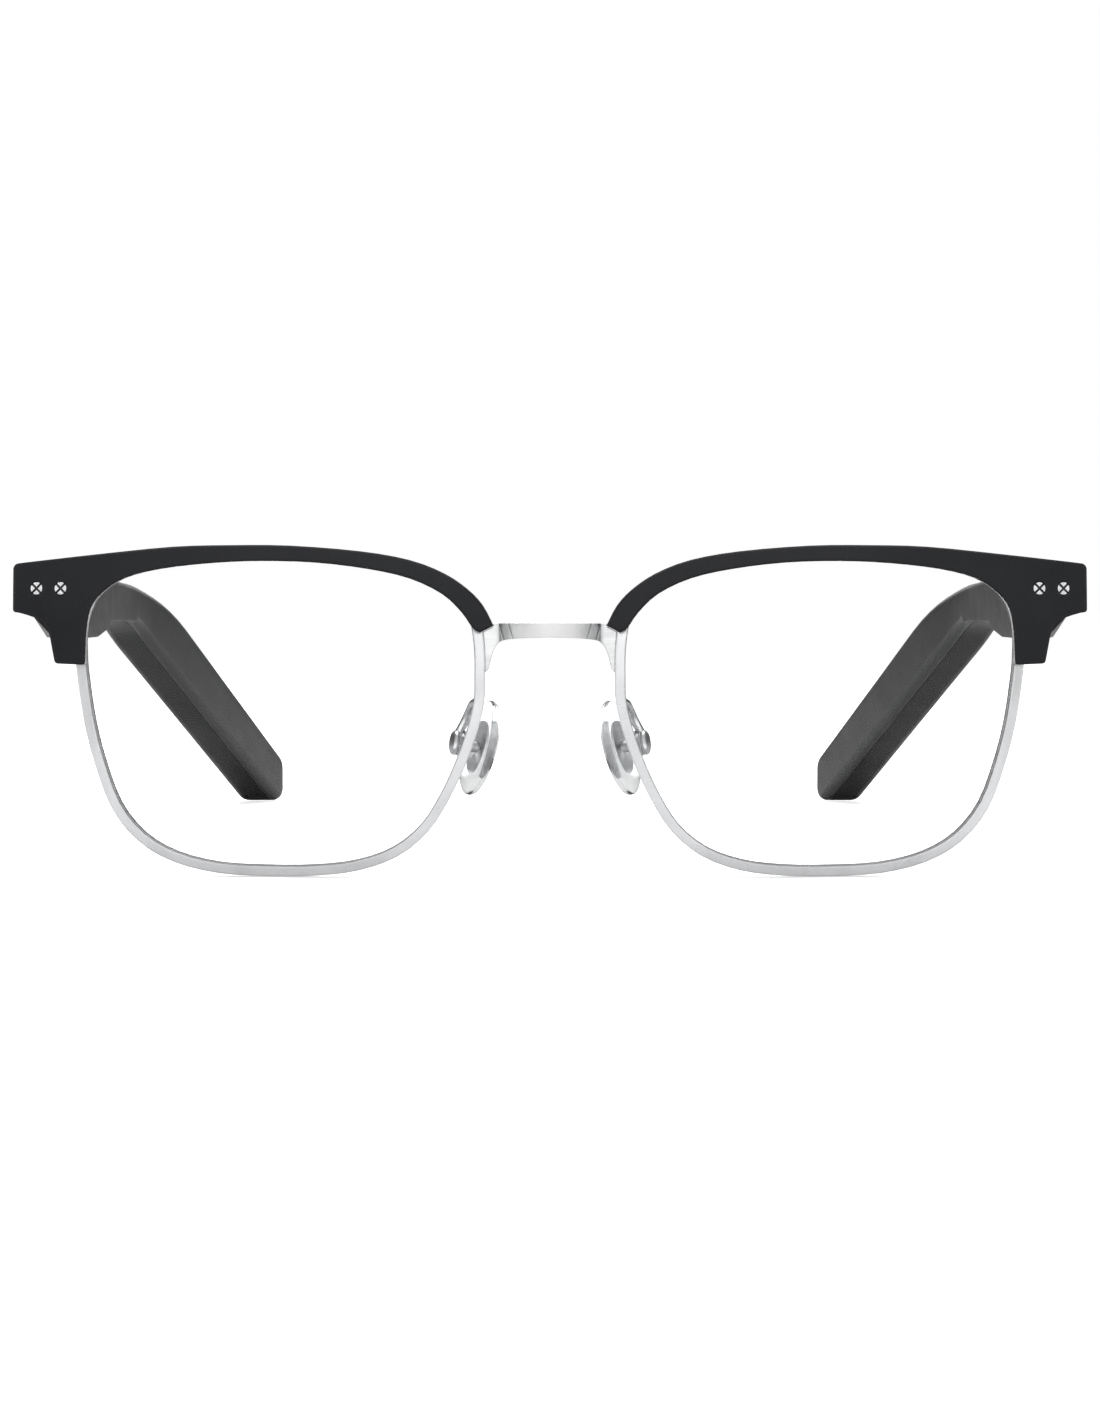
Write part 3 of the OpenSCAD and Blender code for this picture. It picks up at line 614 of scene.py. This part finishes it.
# painted shade: the floors of the rivet heads' cross slots get a near-black metal, standing in for the shade
# inside the slots
slotShade = metal("rivetSlots", {
    "dark": (0.05, 0.05, 0.052), "light": (0.09, 0.09, 0.092), "rubbed": (0.3, 0.3, 0.3),
    "rough": (0.4, 0.6), "stretch": (1, 1, 0.2), "lines": 9000, "bump": 0.3, "wear": 0.3})
for sideName, side in sides.items():
    for part, width in smallMetal.items():
        bm = copyOf(sideName + "_" + part, 0.5)
        if part == "brow_rivets":
            # faces sunk into the head, the slot floors, take the painted slot shade
            depths = [depthOf(face.calc_center_median(), side) for face in bm.faces]
            for face, depth in zip(bm.faces, depths):
                below = depth - min(depths)
                face.material_index = int(rivetSlot["from"] < below < rivetSlot["to"])
        roundOff(bm, sharpEdges(bm, easing["angle"]), width, easing["steps"])
        title = "".join(word.capitalize() for word in part.split("_"))
        finishPiece(
            bm, sideName + title, sideName + "_" + part,
            extra=[slotShade] if part == "brow_rivets" else [])
for node, name in (("pad_screws", "padScrews"), ("rim_lock_screws", "rimLockScrews")):
    bm = copyOf(node, 0.5)
    roundOff(bm, sharpEdges(bm, easing["angle"]), easing["screws"], easing["steps"])
    finishPiece(bm, name, node)
print("rivets, hinges and screws are eased")

# nose pads and their arms
pad = {
    "thick": 2.0, "wide": 7.2, "high": 13.2, "flat": 0.6, "lean": -15, "swing": -34,
    "around": 48, "rings": 28}
padBox = {  # half section: distance along the stem, radius
    "section": [
        (2.62, 0.9), (2.62, 1.45), (2.72, 1.65), (2.9, 1.74), (3.06, 1.72), (3.12, 1.58), (3.22, 1.58),
        (3.28, 1.72), (3.44, 1.75), (3.6, 1.75), (3.76, 1.72), (3.82, 1.58), (3.92, 1.58), (3.98, 1.72),
        (4.14, 1.74), (4.36, 1.62), (4.54, 1.38), (4.66, 1.0), (4.72, 0.5), (4.74, 0.0)],
    "middle": 3.65, "lean": -8, "swing": -14, "steps": 40}
padWire = {
    "radius": 0.6,
    "points": [  # across, behind the brow, up
        (9.7, 3.8, 23.2), (10.2, 5, 22.9), (10.8, 6.8, 21.8),
        (11.5, 8, 20.3), (12.2, 8.5, 19), (12.55, 8.45, 18.3)]}
for sideName, side in sides.items():
    low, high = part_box(sideName + "_nose_pad")
    padPlace = (
        Matrix.Translation((low + high) / 2)
        @ Matrix.Rotation(math.radians(pad["lean"] * side), 4, "Y")
        @ Matrix.Rotation(math.radians(pad["swing"] * side), 4, "Z"))
    bm = bmesh.new()
    bmesh.ops.create_uvsphere(bm, u_segments=pad["around"], v_segments=pad["rings"], radius=1)
    for vert in bm.verts:
        vert.co.x = math.copysign(abs(vert.co.x) ** pad["flat"], vert.co.x)
    bmesh.ops.scale(
        bm, verts=bm.verts, vec=Vector((pad["thick"], pad["wide"], pad["high"])) / 2 * mm)
    bmesh.ops.transform(bm, verts=bm.verts, matrix=padPlace)
    finishPiece(bm, sideName + "NosePad", sideName + "_nose_pad", crease=180)

    bm = bmesh.new()
    section = [bm.verts.new((x * side * mm, 0, r * mm)) for x, r in padBox["section"]]
    edges = [bm.edges.new(pair) for pair in zip(section, section[1:])]
    bmesh.ops.spin(
        bm, geom=section + edges, cent=(0, 0, 0), axis=(1, 0, 0), angle=2 * math.pi, steps=padBox["steps"],
        use_merge=True)
    bmesh.ops.remove_doubles(bm, verts=bm.verts[:], dist=0.002 * mm)
    inner = [edge for edge in bm.edges if edge.is_boundary]
    bmesh.ops.holes_fill(bm, edges=inner, sides=0)
    bmesh.ops.recalc_face_normals(bm, faces=bm.faces[:])
    boxMiddle = Vector((side * padBox["middle"] * mm, 0, 0))
    bmesh.ops.translate(bm, verts=bm.verts, vec=-boxMiddle)
    bmesh.ops.transform(bm, verts=bm.verts, matrix=(
        Matrix.Translation(padPlace @ boxMiddle)
        @ Matrix.Rotation(math.radians(padBox["lean"] * side), 4, "Y")
        @ Matrix.Rotation(math.radians(padBox["swing"] * side), 4, "Z")))
    box = finishPiece(bm, sideName + "PadBox", sideName + "_pad_arm", crease=50)
    box.data.materials[0] = finish["pad_wire"]

    path = bpy.data.curves.new(sideName + "PadWire", "CURVE")
    path.dimensions = "3D"
    path.bevel_depth = padWire["radius"] * mm
    path.bevel_resolution = 6
    path.resolution_u = 8
    path.use_fill_caps = True
    spline = path.splines.new("BEZIER")
    spline.bezier_points.add(len(padWire["points"]) - 1)
    for knot, (x, d, z) in zip(spline.bezier_points, padWire["points"]):
        knot.co = (x * side * mm, depthBack(d), z * mm)
        knot.handle_left_type = knot.handle_right_type = "AUTO"
    wire = bpy.data.objects.new(sideName + "PadWire", path)
    path.materials.append(finish["pad_wire"])
    bpy.context.scene.collection.objects.link(wire)
    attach(wire, "front")
    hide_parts(sideName + "_pad_arm")
print("nose pads and arms are in")

# what stays as packed gets its finish
for name, node in nodes.items():
    if not node.hide_render:
        for holder in node.material_slots:
            holder.material = finish[slotOf[name]]
